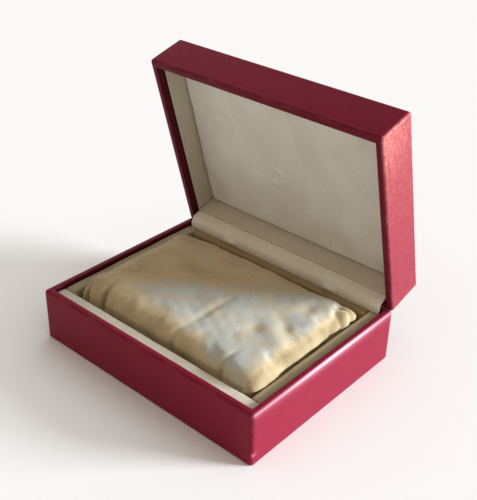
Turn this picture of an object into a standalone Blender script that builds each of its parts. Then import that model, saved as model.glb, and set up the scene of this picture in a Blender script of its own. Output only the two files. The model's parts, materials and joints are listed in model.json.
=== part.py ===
"""Hinged presentation box with its lid open on its stop and a loose cushion inside.

Each half is a folded board tray wrapped in leatherette, which turns in over the rim. Cloth covered
cards line the walls, a padded panel fills the lid, and two small sprung hinges behind a fabric strip
join the halves at the back.

Units are metres and +Z is up. The origin is the middle of the underside. The front faces -Y, the
hinges are at +Y and X runs along the width. Inside each half, a place is given by its inset from the
outer walls and its depth from the rim, so the base and the lid share every wall formula.
"""

import math

import bmesh
import bpy
from mathutils import Vector

MM = 0.001

# Driving sizes of the case
WIDTH = 150.0 * MM
DEPTH = 115.0 * MM
BASE_HEIGHT = 31.0 * MM
LID_HEIGHT = 24.4 * MM
OPEN_ANGLE = math.radians(74.0)

# Wall make-up: leatherette outside, board, leatherette turned in
GAP = 0.3 * MM
SKIN = 0.8 * MM
BOARD = 2.0 * MM
EDGE_RADIUS = 1.8 * MM
FOOT_RADIUS = 1.2 * MM
INNER_EDGE_RADIUS = 0.7 * MM
SHARP_RADIUS = 0.2 * MM
TURN_IN = 12.0 * MM
TURN_UNDER = 10.0 * MM
CORNER_STEPS = 4

# Linings
LEDGE = 6.6 * MM
LEDGE_RECESS = 2.0 * MM
LEDGE_EDGE = 0.6 * MM
LID_LINER = 1.0 * MM
LID_HINGE_LINER = 1.5 * MM
LINER_EDGE = 0.3 * MM
LID_LINER_RECESS = 4.6 * MM
LID_PANEL = 4.0 * MM
FLOOR_CARD = 0.8 * MM

# Cushion
CUSHION_CLEARANCE = 0.6 * MM
CUSHION_PROUD = 6.0 * MM
CUSHION_SEAM_DEPTH = 6.0 * MM
CUSHION_STEPS = 24

# Sprung hinges, two alike
HINGE_OFFSET = 37.0 * MM
PIN_RADIUS = 0.35 * MM
KNUCKLE_RADIUS = 1.1 * MM
KNUCKLE_HALF = 3.0 * MM
KNUCKLE_OUTER = 6.3 * MM
LEAF = 0.5 * MM
LEAF_HALF = 7.0 * MM
LEAF_DROP = 10.0 * MM
LEAF_SHOULDER = 3.5 * MM
SPRING = 0.3 * MM
SPRING_DROP = 9.5 * MM
SPRING_BAR_TOP = 5.0 * MM
TACK_RADIUS = 0.5 * MM
TACK_HEAD_RADIUS = 1.2 * MM
TACK_HEAD = 0.4 * MM
TACK_DROP = 7.2 * MM
TACK_OFFSET = 4.8 * MM
TACK_BITE = 1.2 * MM

# Fabric strip over the hinges
STRIP = 0.6 * MM
STRIP_END_CLEARANCE = 1.5 * MM
STRIP_TUCK = 1.0 * MM
STRIP_FULLNESS = 5.0 * MM
STRIP_RISE = 6.5 * MM
STRIP_LEAN = 0.8 * MM
STRIP_STEPS = 12

# Sizes that follow from those above
WALL = SKIN + GAP + BOARD + GAP + SKIN
CORE_INSET = SKIN + GAP
CORE_FACE = CORE_INSET + BOARD
LINER_BACK = WALL + GAP
LEDGE_FACE = LINER_BACK + LEDGE
LID_LINER_FACE = LINER_BACK + LID_LINER
LEAF_BACK = CORE_FACE + GAP
LEAF_FACE = LEAF_BACK + LEAF
SPRING_BACK = LEAF_FACE + GAP
SPRING_FACE = SPRING_BACK + SPRING
BASE_TACK_SEAT = SPRING_FACE + GAP
LID_TACK_SEAT = LEAF_FACE + GAP
STRIP_INSET = SPRING_FACE + GAP + STRIP / 2
BACK_LINER_BACK = max(STRIP_INSET + STRIP / 2, BASE_TACK_SEAT + TACK_HEAD) + GAP
LID_HINGE_LINER_BACK = max(WALL, LID_TACK_SEAT + TACK_HEAD) + GAP
LID_HINGE_LINER_FACE = LID_HINGE_LINER_BACK + LID_HINGE_LINER
BASE_FLOOR = BASE_HEIGHT - CORE_FACE
LID_FLOOR = LID_HEIGHT - CORE_FACE
LID_PANEL_RECESS = LID_FLOOR - GAP - LID_PANEL
CARD_TOP = BASE_FLOOR - GAP - FLOOR_CARD

# The rounded back edges of lid and base stay GAP apart when the lid is shut and when it is open on
# its stop, because the axis lies this far in front of the back face, half a gap above the base rim.
HINGE_INSET = EDGE_RADIUS - (EDGE_RADIUS + GAP / 2) * math.tan(OPEN_ANGLE / 4)
HINGE_Y = DEPTH / 2 - HINGE_INSET
HINGE_Z = BASE_HEIGHT + GAP / 2

BASE = -1
LID = 1


def material(name, color, roughness, metallic=0.0):
    """A Principled material of one colour."""
    result = bpy.data.materials.new(name)
    result.use_nodes = True
    shader = result.node_tree.nodes["Principled BSDF"]
    shader.inputs["Base Color"].default_value = (*color, 1.0)
    shader.inputs["Roughness"].default_value = roughness
    shader.inputs["Metallic"].default_value = metallic
    return result


def empty(name, place, turn=0.0):
    """An empty that carries the pieces of one half."""
    result = bpy.data.objects.new(name, None)
    result.location = place
    result.rotation_euler = (turn, 0.0, 0.0)
    bpy.context.scene.collection.objects.link(result)
    return result


def add_object(name, bm, look, side):
    """Turn a bmesh, given in rim coordinates, into a named object on its half of the case."""
    bm.normal_update()
    bmesh.ops.recalc_face_normals(bm, faces=bm.faces)
    if bm.calc_volume(signed=True) < 0.0:
        bmesh.ops.reverse_faces(bm, faces=bm.faces)
    mesh = bpy.data.meshes.new(name)
    bm.to_mesh(mesh)
    bm.free()
    if look is not None:
        mesh.materials.append(look)
    result = bpy.data.objects.new(name, mesh)
    bpy.context.scene.collection.objects.link(result)
    result.parent = carriers[side]
    if side == LID:
        result.location = (0.0, -HINGE_Y, GAP / 2)
    return result


def outline(inset):
    """The plan of the case, a rounded rectangle, moved inwards by inset."""
    half_x = WIDTH / 2 - inset
    half_y = DEPTH / 2 - inset
    radius = max(EDGE_RADIUS - inset, SHARP_RADIUS)
    points = []
    for quarter, (sx, sy) in enumerate(((1, 1), (-1, 1), (-1, -1), (1, -1))):
        for step in range(CORNER_STEPS + 1):
            angle = math.radians(90.0) * (quarter + step / CORNER_STEPS)
            x = sx * (half_x - radius) + radius * math.cos(angle)
            y = sy * (half_y - radius) + radius * math.sin(angle)
            points.append((x, y))
    return points


def loft(profile, side, closed):
    """Carry a wall profile of (inset, depth) points round the plan of the case."""
    bm = bmesh.new()
    rings = []
    for inset, depth in profile:
        rings.append([bm.verts.new((x, y, side * depth)) for x, y in outline(inset)])
    pairs = list(zip(rings, rings[1:]))
    if closed:
        pairs.append((rings[-1], rings[0]))
    else:
        bm.faces.new(rings[0])
        bm.faces.new(rings[-1])
    for low, high in pairs:
        for k in range(len(low)):
            n = (k + 1) % len(low)
            bm.faces.new((low[k], low[n], high[n], high[k]))
    return bm


def arc(inset, depth, radius, start, stop):
    """Profile points on an arc, from its centre; 0 degrees points in, 90 away from the rim."""
    points = []
    for step in range(CORNER_STEPS + 1):
        angle = math.radians(start + (stop - start) * step / CORNER_STEPS)
        points.append((inset + radius * math.cos(angle), depth + radius * math.sin(angle)))
    return points


def rim_profile():
    """The leatherette from the outer wall over the rim and down to the end of its turn-in."""
    points = arc(EDGE_RADIUS, EDGE_RADIUS, EDGE_RADIUS, 180.0, 270.0)
    inner = WALL - INNER_EDGE_RADIUS
    points += arc(inner, INNER_EDGE_RADIUS, INNER_EDGE_RADIUS, -90.0, 0.0)
    points += [(WALL, TURN_IN), (WALL - SKIN, TURN_IN), (WALL - SKIN, SKIN), (SKIN, SKIN)]
    return points


def make_wraps(look):
    """The base's leatherette turns under the floor; the lid's covers the whole top."""
    foot = [(TURN_UNDER, BASE_HEIGHT)]
    foot += arc(FOOT_RADIUS, BASE_HEIGHT - FOOT_RADIUS, FOOT_RADIUS, 90.0, 180.0)
    inside = [(SKIN, BASE_HEIGHT - SKIN), (TURN_UNDER, BASE_HEIGHT - SKIN)]
    base = add_object("base_wrap", loft(foot + rim_profile() + inside, BASE, True), look, BASE)
    top = arc(EDGE_RADIUS, LID_HEIGHT - EDGE_RADIUS, EDGE_RADIUS, 90.0, 180.0)
    ceiling = [(SKIN, LID_HEIGHT - SKIN)]
    lid = add_object("lid_wrap", loft(top + rim_profile() + ceiling, LID, False), look, LID)
    return base, lid


def make_core(name, height, side, look):
    """A board tray inside the leatherette."""
    profile = [
        (CORE_INSET, height - CORE_INSET),
        (CORE_INSET, CORE_INSET),
        (CORE_FACE, CORE_INSET),
        (CORE_FACE, height - CORE_FACE),
    ]
    return add_object(name, loft(profile, side, False), look, side)


def add_box(bm, x_range, insets, depths, side):
    """Add a box: x range, inset range from the back wall's outer face, depth range from the rim."""
    low_x, high_x = x_range
    corners = []
    for x in (low_x, high_x):
        for inset in insets:
            for depth in depths:
                corners.append(bm.verts.new((x, DEPTH / 2 - inset, side * depth)))
    bmesh.ops.convex_hull(bm, input=corners)


def card(name, x_range, insets, depths, side, look, edge=0.0):
    """A lining card or strip, its edges softened where the cloth goes round them."""
    bm = bmesh.new()
    add_box(bm, x_range, insets, depths, side)
    bmesh.ops.dissolve_limit(bm, angle_limit=0.01, verts=bm.verts, edges=bm.edges)
    result = add_object(name, bm, look, side)
    if edge:
        bevel = result.modifiers.new("softened edges", "BEVEL")
        bevel.width = edge
        bevel.segments = 2
    return result


def both_sides(low, high):
    """The x range from low to high on the right, and its mirror image on the left."""
    return {"left": (-high, -low), "right": (low, high)}


def make_base_linings(cloth, paper):
    """Floor card and four thick covered strips, which form a ledge round the cushion's well."""
    inner_x = WIDTH / 2 - LINER_BACK
    front = DEPTH - LINER_BACK
    card("base_floor_card", (-inner_x, inner_x), (LINER_BACK, front),
         (CARD_TOP, CARD_TOP + FLOOR_CARD), BASE, cloth, LINER_EDGE)
    depths = (LEDGE_RECESS, CARD_TOP - GAP)
    card("base_liner_front", (-inner_x, inner_x), (DEPTH - LEDGE_FACE, front),
         depths, BASE, cloth, LEDGE_EDGE)
    side_insets = (BACK_LINER_BACK, DEPTH - LEDGE_FACE - GAP)
    for hand, span in both_sides(WIDTH / 2 - LEDGE_FACE, inner_x).items():
        card(f"base_liner_{hand}", span, side_insets, depths, BASE, cloth, LEDGE_EDGE)
    between = WIDTH / 2 - LEDGE_FACE - GAP
    card("base_liner_back", (-between, between), (BACK_LINER_BACK, LEDGE_FACE),
         depths, BASE, cloth, LEDGE_EDGE)
    under = WIDTH / 2 - TURN_UNDER - GAP
    card("base_bottom_sheet", (-under, under), (TURN_UNDER + GAP, DEPTH - TURN_UNDER - GAP),
         (BASE_HEIGHT - SKIN, BASE_HEIGHT), BASE, paper)


def make_lid_linings(satin):
    """Four wall cards and the padded panel against the lid's floor."""
    inner_x = WIDTH / 2 - LINER_BACK
    depths = (LID_LINER_RECESS, LID_FLOOR - GAP)
    card("lid_liner_front", (-inner_x, inner_x), (DEPTH - LID_LINER_FACE, DEPTH - LINER_BACK),
         depths, LID, satin, LINER_EDGE)
    card("lid_liner_hinge_side", (-inner_x, inner_x), (LID_HINGE_LINER_BACK, LID_HINGE_LINER_FACE),
         depths, LID, satin, LINER_EDGE)
    insets = (LID_HINGE_LINER_FACE + GAP, DEPTH - LID_LINER_FACE - GAP)
    for hand, span in both_sides(WIDTH / 2 - LID_LINER_FACE, inner_x).items():
        card(f"lid_liner_{hand}", span, insets, depths, LID, satin, LINER_EDGE)
    between = WIDTH / 2 - LID_LINER_FACE - GAP
    card("lid_panel", (-between, between), insets, (LID_PANEL_RECESS, LID_FLOOR - GAP), LID, satin,
         LEDGE_EDGE)


def cushion_rise(share, power):
    """How full the cushion is at a share of the way out from its middle, 1 at the middle."""
    return (1.0 - abs(share) ** power) ** 0.5


def make_cushion(look):
    """A crowned pillow: flat where it rests, full in the middle, thin along its seam."""
    half_x = WIDTH / 2 - LEDGE_FACE - CUSHION_CLEARANCE
    half_y = DEPTH / 2 - LEDGE_FACE - CUSHION_CLEARANCE
    seam = -CUSHION_SEAM_DEPTH
    crown = CUSHION_PROUD + CUSHION_SEAM_DEPTH
    seat = CARD_TOP - CUSHION_SEAM_DEPTH - GAP
    bm = bmesh.new()
    layers = {1: [], -1: []}
    for i in range(CUSHION_STEPS + 1):
        s = math.sin(math.pi / 2 * (2.0 * i / CUSHION_STEPS - 1.0))
        rows = {1: [], -1: []}
        for j in range(CUSHION_STEPS + 1):
            t = math.sin(math.pi / 2 * (2.0 * j / CUSHION_STEPS - 1.0))
            x = half_x * s * (1.0 - 0.03 * (1.0 - t * t))
            y = half_y * t * (1.0 - 0.03 * (1.0 - s * s))
            on_seam = i in (0, CUSHION_STEPS) or j in (0, CUSHION_STEPS)
            rise = 0.0 if on_seam else cushion_rise(s, 4) * cushion_rise(t, 4)
            sink = min(1.0, 1.6 * rise)
            top = bm.verts.new((x, y, seam + crown * rise))
            rows[1].append(top)
            rows[-1].append(top if on_seam else bm.verts.new((x, y, seam - seat * sink)))
        layers[1].append(rows[1])
        layers[-1].append(rows[-1])
    for grid in layers.values():
        for low, high in zip(grid, grid[1:]):
            for j in range(CUSHION_STEPS):
                bm.faces.new((low[j], low[j + 1], high[j + 1], high[j]))
    pillow = add_object("cushion", bm, look, BASE)
    pillow.data.shade_smooth()


def cylinder_along_x(bm, radius, x_range, inset, depth, side, segments=24):
    """Add a round bar along X at an inset from the back face and a depth from the rim."""
    low, high = x_range
    made = bmesh.ops.create_cone(bm, cap_ends=True, segments=segments, radius1=radius,
                                 radius2=radius, depth=high - low)
    for vert in made["verts"]:
        x, y, z = vert.co
        vert.co = Vector(((low + high) / 2 + z, DEPTH / 2 - inset + y, side * depth + x))


def cylinder_along_y(bm, radius, x, insets, depth, side, segments=16):
    """Add a round bar along Y between two insets from the back face."""
    near, far = insets
    made = bmesh.ops.create_cone(bm, cap_ends=True, segments=segments, radius1=radius,
                                 radius2=radius, depth=far - near)
    for vert in made["verts"]:
        along, y, z = vert.co
        vert.co = Vector((x + along, DEPTH / 2 - (near + far) / 2 + z, side * depth + y))


def cutter(name, bm, side):
    """A guide solid that only cuts."""
    result = add_object(name, bm, None, side)
    result.hide_render = True
    result.display_type = "WIRE"
    return result


def boolean(target, tool, operation):
    """Join or cut with another object."""
    modifier = target.modifiers.new(f"{operation.lower()} {tool.name}", "BOOLEAN")
    modifier.operation = operation
    modifier.solver = "EXACT"
    modifier.object = tool


def hinge_places():
    """The name and the x of each hinge."""
    return {"left": -HINGE_OFFSET, "right": HINGE_OFFSET}


def knuckle_spans(x, side):
    """The base carries the middle knuckle; the lid carries the two outer ones."""
    if side == BASE:
        return [(x - KNUCKLE_HALF, x + KNUCKLE_HALF)]
    inner = KNUCKLE_HALF + GAP
    return [(x - KNUCKLE_OUTER, x - inner), (x + inner, x + KNUCKLE_OUTER)]


def notch_cutter(side):
    """The slots in the back wall that the knuckles and the leaf's arms lie in."""
    bm = bmesh.new()
    half = KNUCKLE_OUTER + 2 * GAP
    deep = KNUCKLE_RADIUS + GAP - GAP / 2
    for x in hinge_places().values():
        add_box(bm, (x - half, x + half), (-EDGE_RADIUS, WALL + SKIN), (-SKIN, deep), side)
    return cutter(f"{'base' if side == BASE else 'lid'}_notch_cutter", bm, side)


def window_cutter(side):
    """The windows in the turned-in leatherette where the leaves lie against the board."""
    bm = bmesh.new()
    half = LEAF_HALF + GAP
    for x in hinge_places().values():
        add_box(bm, (x - half, x + half), (CORE_FACE + GAP / 2, WALL + SKIN),
                (-SKIN, LEAF_DROP + GAP), side)
    return cutter(f"{'base' if side == BASE else 'lid'}_window_cutter", bm, side)


def tack_cutter(side):
    """The holes that the tacks are driven into."""
    bm = bmesh.new()
    tip = CORE_FACE - TACK_BITE
    for x in hinge_places().values():
        for offset in (-TACK_OFFSET, TACK_OFFSET):
            cylinder_along_y(bm, TACK_RADIUS + GAP, x + offset,
                             (tip - GAP, BACK_LINER_BACK), TACK_DROP, side)
    return cutter(f"{'base' if side == BASE else 'lid'}_tack_cutter", bm, side)


def union_of(name, shapes, look, side):
    """Fuse simple bmesh shapes into one solid."""
    first, *others = shapes
    result = add_object(name, first, look, side)
    for index, shape in enumerate(others):
        boolean(result, cutter(f"{name}_piece_{index}", shape, side), "UNION")
    return result


def box_mesh(x_range, insets, depths, side):
    """One box as a bmesh of its own."""
    bm = bmesh.new()
    add_box(bm, x_range, insets, depths, side)
    return bm


def round_mesh(radius, x_range, side):
    """One round bar on the hinge axis as a bmesh of its own."""
    bm = bmesh.new()
    cylinder_along_x(bm, radius, x_range, HINGE_INSET, -GAP / 2, side)
    return bm


def make_leaf(hand, x, side, look, tacks):
    """A pressed hinge leaf: a plate on the wall, arms over it and rolled knuckles on the axis."""
    name = f"{hand}_hinge_{'base' if side == BASE else 'lid'}_leaf"
    arm_top = GAP / 2
    plate_top = LEAF_SHOULDER if side == BASE else arm_top
    plate = (x - LEAF_HALF, x + LEAF_HALF)
    shapes = [box_mesh(plate, (LEAF_BACK, LEAF_FACE), (plate_top, LEAF_DROP), side)]
    for span in knuckle_spans(x, side):
        if side == BASE:
            shapes.append(box_mesh(span, (LEAF_BACK, LEAF_FACE), (arm_top, plate_top + LEAF), side))
        shapes.append(box_mesh(span, (HINGE_INSET, LEAF_FACE - LEAF / 2), (arm_top, arm_top + LEAF), side))
        shapes.append(round_mesh(KNUCKLE_RADIUS, span, side))
    leaf = union_of(name, shapes, look, side)
    bore = round_mesh(PIN_RADIUS + GAP, (x - LEAF_HALF, x + LEAF_HALF), side)
    boolean(leaf, cutter(f"{name}_bore", bore, side), "DIFFERENCE")
    boolean(leaf, tacks, "DIFFERENCE")


def make_spring(hand, x, look, tacks):
    """A flat snap spring: a bar tacked to the base leaf and two prongs that press the lid's knuckles."""
    name = f"{hand}_hinge_spring"
    top = KNUCKLE_RADIUS / 2
    reach = math.sqrt((KNUCKLE_RADIUS + GAP) ** 2 - (top + GAP / 2) ** 2)
    bar = (x - KNUCKLE_OUTER, x + KNUCKLE_OUTER)
    shapes = [box_mesh(bar, (SPRING_BACK, SPRING_FACE), (SPRING_BAR_TOP, SPRING_DROP), BASE)]
    for span in knuckle_spans(x, LID):
        shapes.append(box_mesh(span, (SPRING_BACK, SPRING_FACE), (top, SPRING_BAR_TOP + SPRING), BASE))
        shapes.append(box_mesh(span, (HINGE_INSET + reach, SPRING_FACE - SPRING / 2),
                               (top, top + SPRING), BASE))
    spring = union_of(name, shapes, look, BASE)
    boolean(spring, tacks, "DIFFERENCE")


def make_tacks(hand, x, side, seat, look):
    """Two round-headed tacks through a leaf into the board."""
    half = "base" if side == BASE else "lid"
    outward = {"left": -1, "right": 1}[hand]
    for place, offset in (("outer", outward * TACK_OFFSET), ("inner", -outward * TACK_OFFSET)):
        shank = bmesh.new()
        cylinder_along_y(shank, TACK_RADIUS, x + offset,
                         (CORE_FACE - TACK_BITE, seat + TACK_HEAD / 2), TACK_DROP, side)
        head = bmesh.new()
        cylinder_along_y(head, TACK_HEAD_RADIUS, x + offset, (seat, seat + TACK_HEAD), TACK_DROP, side)
        union_of(f"{hand}_hinge_{half}_tack_{place}", [head, shank], look, side)


def make_hinges(steel, spring_steel, base_tacks, lid_tacks):
    """Both sprung hinges with their pins and tacks."""
    for hand, x in hinge_places().items():
        make_leaf(hand, x, BASE, steel, base_tacks)
        make_leaf(hand, x, LID, steel, lid_tacks)
        pin = round_mesh(PIN_RADIUS, (x - KNUCKLE_OUTER, x + KNUCKLE_OUTER), BASE)
        add_object(f"{hand}_hinge_pin", pin, steel, BASE)
        make_spring(hand, x, spring_steel, base_tacks)
        make_tacks(hand, x, BASE, BASE_TACK_SEAT, steel)
        make_tacks(hand, x, LID, LID_TACK_SEAT, steel)


def open_lid_point(inset, depth):
    """Where a point of the lid's hinge side lies with the lid open, in the base's rim coordinates."""
    forward = inset - HINGE_INSET
    up = depth + GAP / 2
    y = HINGE_Y - forward * math.cos(OPEN_ANGLE) + up * math.sin(OPEN_ANGLE)
    z = GAP / 2 + forward * math.sin(OPEN_ANGLE) + up * math.cos(OPEN_ANGLE)
    return Vector((0.0, y, z))


def make_cover_strip(look):
    """A ribbon of lining fabric that bulges over the hinges, from the lid's liner to the ledge."""
    lip = LID_HINGE_LINER_FACE - STRIP / 2
    start = open_lid_point(lip, LID_LINER_RECESS - GAP)
    off_lid = open_lid_point(lip, LID_LINER_RECESS - GAP - STRIP_FULLNESS)
    stop = Vector((0.0, DEPTH / 2 - STRIP_INSET, -LEDGE_RECESS - STRIP_TUCK))
    off_base = stop + Vector((0.0, -STRIP_LEAN, STRIP_RISE))
    half = WIDTH / 2 - WALL - STRIP_END_CLEARANCE
    front_side = []
    back_side = []
    for step in range(STRIP_STEPS + 1):
        t = step / STRIP_STEPS
        u = 1.0 - t
        point = start * u**3 + off_lid * (3 * u * u * t) + off_base * (3 * u * t * t) + stop * t**3
        run = (off_lid - start) * (3 * u * u)
        run += (off_base - off_lid) * (6 * u * t) + (stop - off_base) * (3 * t * t)
        across = Vector((0.0, run.z, -run.y)).normalized() * STRIP / 2
        front_side.append(point + across)
        back_side.append(point - across)
    section = front_side + back_side[::-1]
    bm = bmesh.new()
    ends = [[bm.verts.new((x, p.y, p.z)) for p in section] for x in (-half, half)]
    bm.faces.new(ends[0])
    bm.faces.new(ends[1])
    for k in range(len(section)):
        n = (k + 1) % len(section)
        bm.faces.new((ends[0][k], ends[0][n], ends[1][n], ends[1][k]))
    add_object("hinge_cover_strip", bm, look, BASE)


for old in list(bpy.data.objects):
    bpy.data.objects.remove(old, do_unlink=True)

carriers = {
    BASE: empty("base_rim_middle", (0.0, 0.0, BASE_HEIGHT)),
    LID: empty("lid_axis", (0.0, HINGE_Y, HINGE_Z), -OPEN_ANGLE),
}
leatherette = material("red leatherette", (0.43, 0.024, 0.06), 0.4)
board = material("grey board", (0.35, 0.31, 0.26), 0.9)
lining = material("lining cloth", (0.36, 0.30, 0.22), 0.8)
satin_lining = material("satin lining", (0.38, 0.33, 0.26), 0.55)
velour = material("champagne velour", (0.52, 0.44, 0.30), 0.9)
black_paper = material("dark paper", (0.08, 0.07, 0.07), 0.8)
nickel = material("nickelled steel", (0.6, 0.58, 0.55), 0.35, 1.0)
blue_steel = material("spring steel", (0.4, 0.4, 0.42), 0.4, 1.0)

base_wrap, lid_wrap = make_wraps(leatherette)
base_core = make_core("base_core", BASE_HEIGHT, BASE, board)
lid_core = make_core("lid_core", LID_HEIGHT, LID, board)
make_base_linings(lining, black_paper)
make_lid_linings(satin_lining)
make_cushion(velour)

base_tack_holes = tack_cutter(BASE)
lid_tack_holes = tack_cutter(LID)
for wrap, core, side, holes in (
    (base_wrap, base_core, BASE, base_tack_holes),
    (lid_wrap, lid_core, LID, lid_tack_holes),
):
    slots = notch_cutter(side)
    boolean(wrap, slots, "DIFFERENCE")
    boolean(wrap, window_cutter(side), "DIFFERENCE")
    boolean(core, slots, "DIFFERENCE")
    boolean(core, holes, "DIFFERENCE")
make_hinges(nickel, blue_steel, base_tack_holes, lid_tack_holes)
make_cover_strip(lining)
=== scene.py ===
# %% [markdown]
# A presentation box is two board trays covered in red leathercloth, joined at the back by two small
# sprung hinges. Cloth lines the walls, satin pads the lid and a velour cushion lies in the base. This
# lesson dresses the measured solids of such a box: each step says what the real piece is, and then
# works its surface out with numpy.

# %% Load the measured box
import json
import math

import bmesh
import bpy
import numpy as np
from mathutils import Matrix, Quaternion, Vector


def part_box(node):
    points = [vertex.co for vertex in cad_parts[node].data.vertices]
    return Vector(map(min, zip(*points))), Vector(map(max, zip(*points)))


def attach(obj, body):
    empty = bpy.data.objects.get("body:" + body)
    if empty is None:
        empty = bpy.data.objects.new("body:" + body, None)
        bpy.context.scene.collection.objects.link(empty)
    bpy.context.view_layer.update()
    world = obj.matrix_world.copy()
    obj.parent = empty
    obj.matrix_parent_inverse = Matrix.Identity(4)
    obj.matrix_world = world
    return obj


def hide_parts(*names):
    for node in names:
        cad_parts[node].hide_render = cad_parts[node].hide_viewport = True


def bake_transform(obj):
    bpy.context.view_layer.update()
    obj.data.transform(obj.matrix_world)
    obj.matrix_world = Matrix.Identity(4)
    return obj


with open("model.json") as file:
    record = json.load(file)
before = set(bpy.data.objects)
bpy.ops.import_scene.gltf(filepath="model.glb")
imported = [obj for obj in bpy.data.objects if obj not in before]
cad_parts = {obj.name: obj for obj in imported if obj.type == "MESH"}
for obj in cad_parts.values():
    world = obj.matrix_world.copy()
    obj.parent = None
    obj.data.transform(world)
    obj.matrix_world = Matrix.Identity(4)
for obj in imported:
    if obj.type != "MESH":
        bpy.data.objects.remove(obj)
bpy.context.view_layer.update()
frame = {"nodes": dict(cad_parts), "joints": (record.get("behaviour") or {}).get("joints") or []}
MM = 0.001

# %% [markdown]
# Every size comes from the solids, so the looks follow them. The base gives the plan and the height.
# The lid stands open on its stop, which is awkward to model in. A lid that is shut has the same plan as
# the base, so each lid piece is worked out shut and then turned open about the hinge's axis.

# %% Sizes of the case and the lid's turn
base_low, base_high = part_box("base_wrap")
WIDTH = base_high.x - base_low.x
DEPTH = base_high.y - base_low.y
BASE_HEIGHT = base_high.z
GAP = 0.3 * MM
SKIN = 0.8 * MM
hinge = frame["joints"][0]
HINGE_Y, HINGE_Z = hinge["pos_m"][1:]
OPEN = math.radians(max(hinge["range_deg"]))


def turn_lid(points, angle):
    """Turn points about the hinge's axis, which runs along X; a positive angle opens the lid."""
    y = points[..., 1] - HINGE_Y
    z = points[..., 2] - HINGE_Z
    turned = points.copy()
    turned[..., 1] = HINGE_Y + y * math.cos(angle) + z * math.sin(angle)
    turned[..., 2] = HINGE_Z - y * math.sin(angle) + z * math.cos(angle)
    return turned


def vectors_of(mesh, kind="co"):
    """One vector for each vertex of a mesh, as an array: its place, or its normal where kind says so."""
    vectors = np.empty(len(mesh.vertices) * 3, np.float32)
    mesh.vertices.foreach_get(kind, vectors)
    return vectors.reshape(-1, 3).astype(float)


def shut_box(node):
    """A lid node's lowest and highest corner when the lid is shut."""
    shut = turn_lid(vectors_of(frame["nodes"][node].data), -OPEN)
    return Vector(shut.min(axis=0)), Vector(shut.max(axis=0))


lid_low, lid_high = shut_box("lid_wrap")
LID_HEIGHT = lid_high.z - lid_low.z
LID_RIM = lid_low.z
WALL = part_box("base_liner_left")[0].x - base_low.x - GAP
print(f"case {WIDTH / MM:.1f} x {DEPTH / MM:.1f} mm, base {BASE_HEIGHT / MM:.1f}, lid {LID_HEIGHT / MM:.1f}, "
      f"walls {WALL / MM:.1f}, open {math.degrees(OPEN):.0f} degrees")

# %% [markdown]
# A surface here is a grid of points, a function of two parameters worked out as one array. This helper
# joins neighbours into four-sided faces. A direction that meets itself is closed, and flat ends are
# filled, because a closed skin has an inside, and shading and export need to know where it is.

# %% Turn grids of points into closed surfaces
def quads_of(rows, columns, loop_rows, loop_columns):
    """The corners of every cell of a grid, with the last row or column joined to the first on request."""
    index = np.arange(rows * columns).reshape(rows, columns)
    if loop_rows:
        index = np.vstack([index, index[:1]])
    if loop_columns:
        index = np.hstack([index, index[:, :1]])
    corners = (index[:-1, :-1], index[:-1, 1:], index[1:, 1:], index[1:, :-1])
    return np.stack(corners, axis=-1).reshape(-1, 4)


def surface(name, grids, loop_rows=False, loop_columns=False, caps=False):
    """One mesh object from one or more grids; doubles are merged and the faces point outwards."""
    points, faces, start = [], [], 0
    for grid in grids:
        rows, columns = grid.shape[:2]
        cells = quads_of(rows, columns, loop_rows, loop_columns) + start
        faces += cells.tolist()
        for end in (start, start + (rows - 1) * columns) if caps else ():
            faces.append(list(range(end, end + columns)))
        points.append(grid.reshape(-1, 3))
        start += rows * columns
    mesh = bpy.data.meshes.new(name)
    mesh.from_pydata(np.concatenate(points), [], faces)
    bm = bmesh.new()
    bm.from_mesh(mesh)
    bmesh.ops.remove_doubles(bm, verts=bm.verts, dist=1e-6)
    bmesh.ops.dissolve_degenerate(bm, edges=bm.edges, dist=1e-7)
    bmesh.ops.recalc_face_normals(bm, faces=bm.faces)
    if bm.calc_volume(signed=True) < 0.0:
        bmesh.ops.reverse_faces(bm, faces=bm.faces)
    bm.to_mesh(mesh)
    bm.free()
    mesh.shade_smooth()
    piece = bpy.data.objects.new(name, mesh)
    bpy.context.scene.collection.objects.link(piece)
    return piece


def move_points(piece, points):
    """Put changed vertices back into a piece."""
    piece.data.vertices.foreach_set("co", points.astype(np.float32).ravel())
    piece.data.update()


def apply_modifiers(piece):
    """Replace a piece's mesh by what its modifiers make of it."""
    graph = bpy.context.evaluated_depsgraph_get()
    graph.update()
    mesh = bpy.data.meshes.new_from_object(piece.evaluated_get(graph))
    piece.modifiers.clear()
    piece.data = mesh


def paint(piece, name, values):
    """Keep one number for each vertex, which a material can read."""
    attribute = piece.data.attributes.new(name, "FLOAT", "POINT")
    attribute.data.foreach_set("value", np.asarray(values, np.float32))


def coat(piece, look):
    """Give a piece one material."""
    piece.data.materials.clear()
    piece.data.materials.append(look)


def finish_piece(piece, body, look, slot, *nodes):
    """Give a piece its material and its body, and hide the nodes that it stands for."""
    coat(piece, look)
    if nodes:
        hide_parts(*nodes)
    if body:
        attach(piece, body)
    print(f"{piece.name}: {len(piece.data.polygons)} faces")
    return piece


# %% [markdown]
# Hand-covered board is never quite flat, and cloth ripples. One smooth random field serves for both: a
# sum of sine waves that run in many directions. The seed is fixed, so each run gives the same box.

# %% Smooth unevenness
def unevenness(points, size, seed, waves=28):
    """A sum of plane sine waves about size long, in seeded directions; it swings between about -1 and 1."""
    rng = np.random.default_rng(seed)
    direction = rng.normal(size=(waves, 3))
    direction /= np.linalg.norm(direction, axis=1, keepdims=True)
    length = size * rng.uniform(0.7, 1.5, waves)
    phase = rng.uniform(0.0, 2 * math.pi, waves)
    turns = points @ (direction / length[:, None]).T * 2 * math.pi + phase
    return np.sin(turns).sum(axis=-1) / math.sqrt(waves)


def ramp(values, start, stop):
    """A smooth step: 0 before start, 1 after stop."""
    share = np.clip((values - start) / (stop - start), 0.0, 1.0)
    return share * share * (3.0 - 2.0 * share)


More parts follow.
